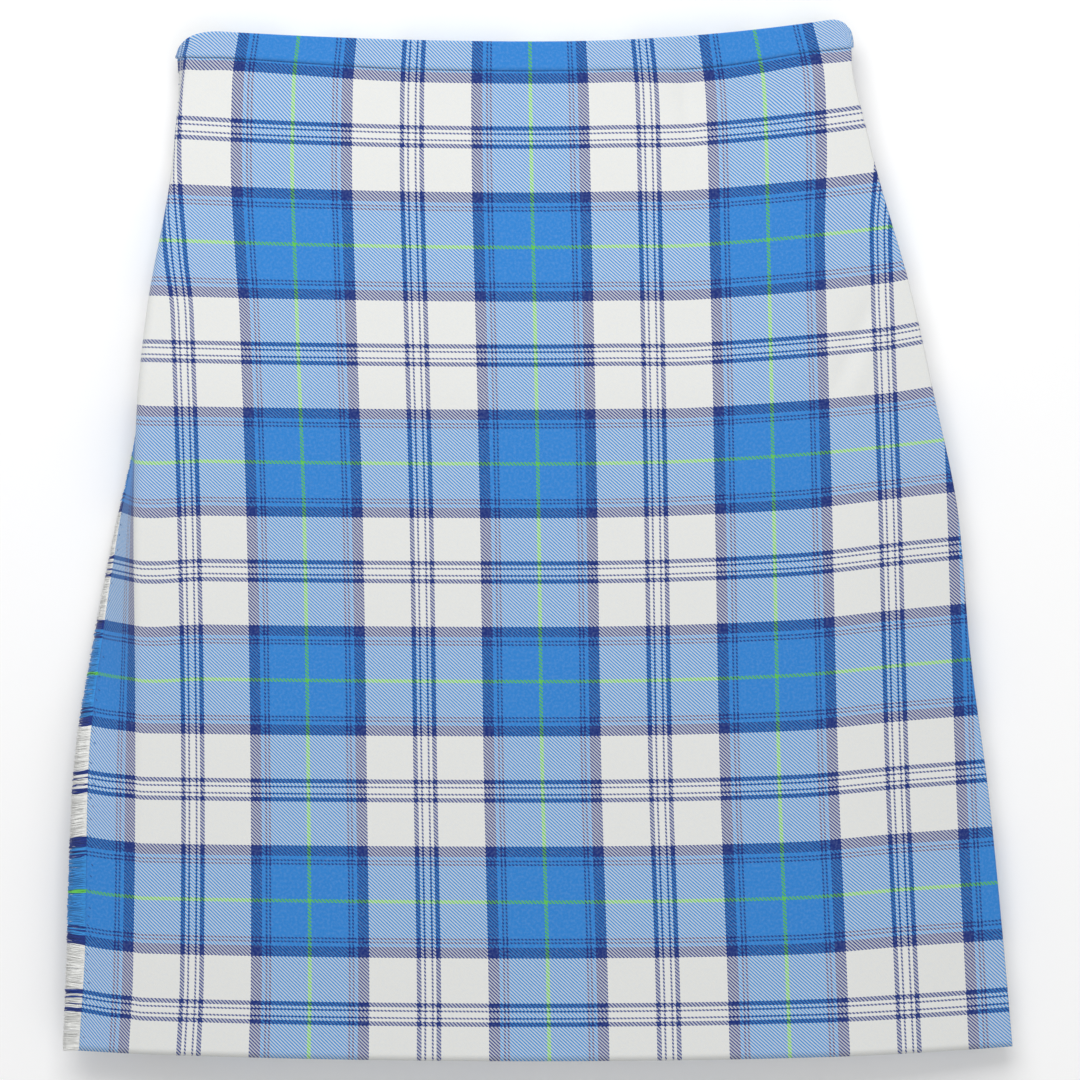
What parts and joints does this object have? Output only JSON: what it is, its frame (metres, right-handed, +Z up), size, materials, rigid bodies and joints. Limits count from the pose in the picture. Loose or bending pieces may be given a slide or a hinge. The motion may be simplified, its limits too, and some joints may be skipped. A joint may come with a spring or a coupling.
{
  "type": "scottish kilt, laid flat",
  "caption": "Tartan kilt laid flat, front up: fringed over apron lying down one side, narrow waistband, under apron, knife-pleated back and two hip straps.",
  "frame": {"origin": "middle of the bounding box, on the surface that the kilt lies on", "axes": "+X across the kilt towards its pressed fold, away from the fringe; +Y from the hem to the waist; +Z up from the surface, out of the front apron"},
  "size_m": [0.5698, 0.6256, 0.0415],
  "materials": {
    "tartan": "matte",
    "yarn": "matte",
    "leather": "satin",
    "buckle_metal": "polished"
  },
  "bodies": {
    "root": {"over_apron": "tartan", "over_band": "tartan", "fringe": "yarn", "pleated_back": "tartan", "back_band": "tartan", "under_apron": "tartan", "under_band": "tartan", "strap_right_hip": "leather", "strap_left_hip": "leather", "buckle_tab_right_hip": "leather", "buckle_tab_left_hip": "leather", "buckle_frame_right_hip": "buckle_metal", "buckle_frame_left_hip": "buckle_metal", "buckle_prong_right_hip": "buckle_metal", "buckle_prong_left_hip": "buckle_metal"}
  },
  "joints": []
}
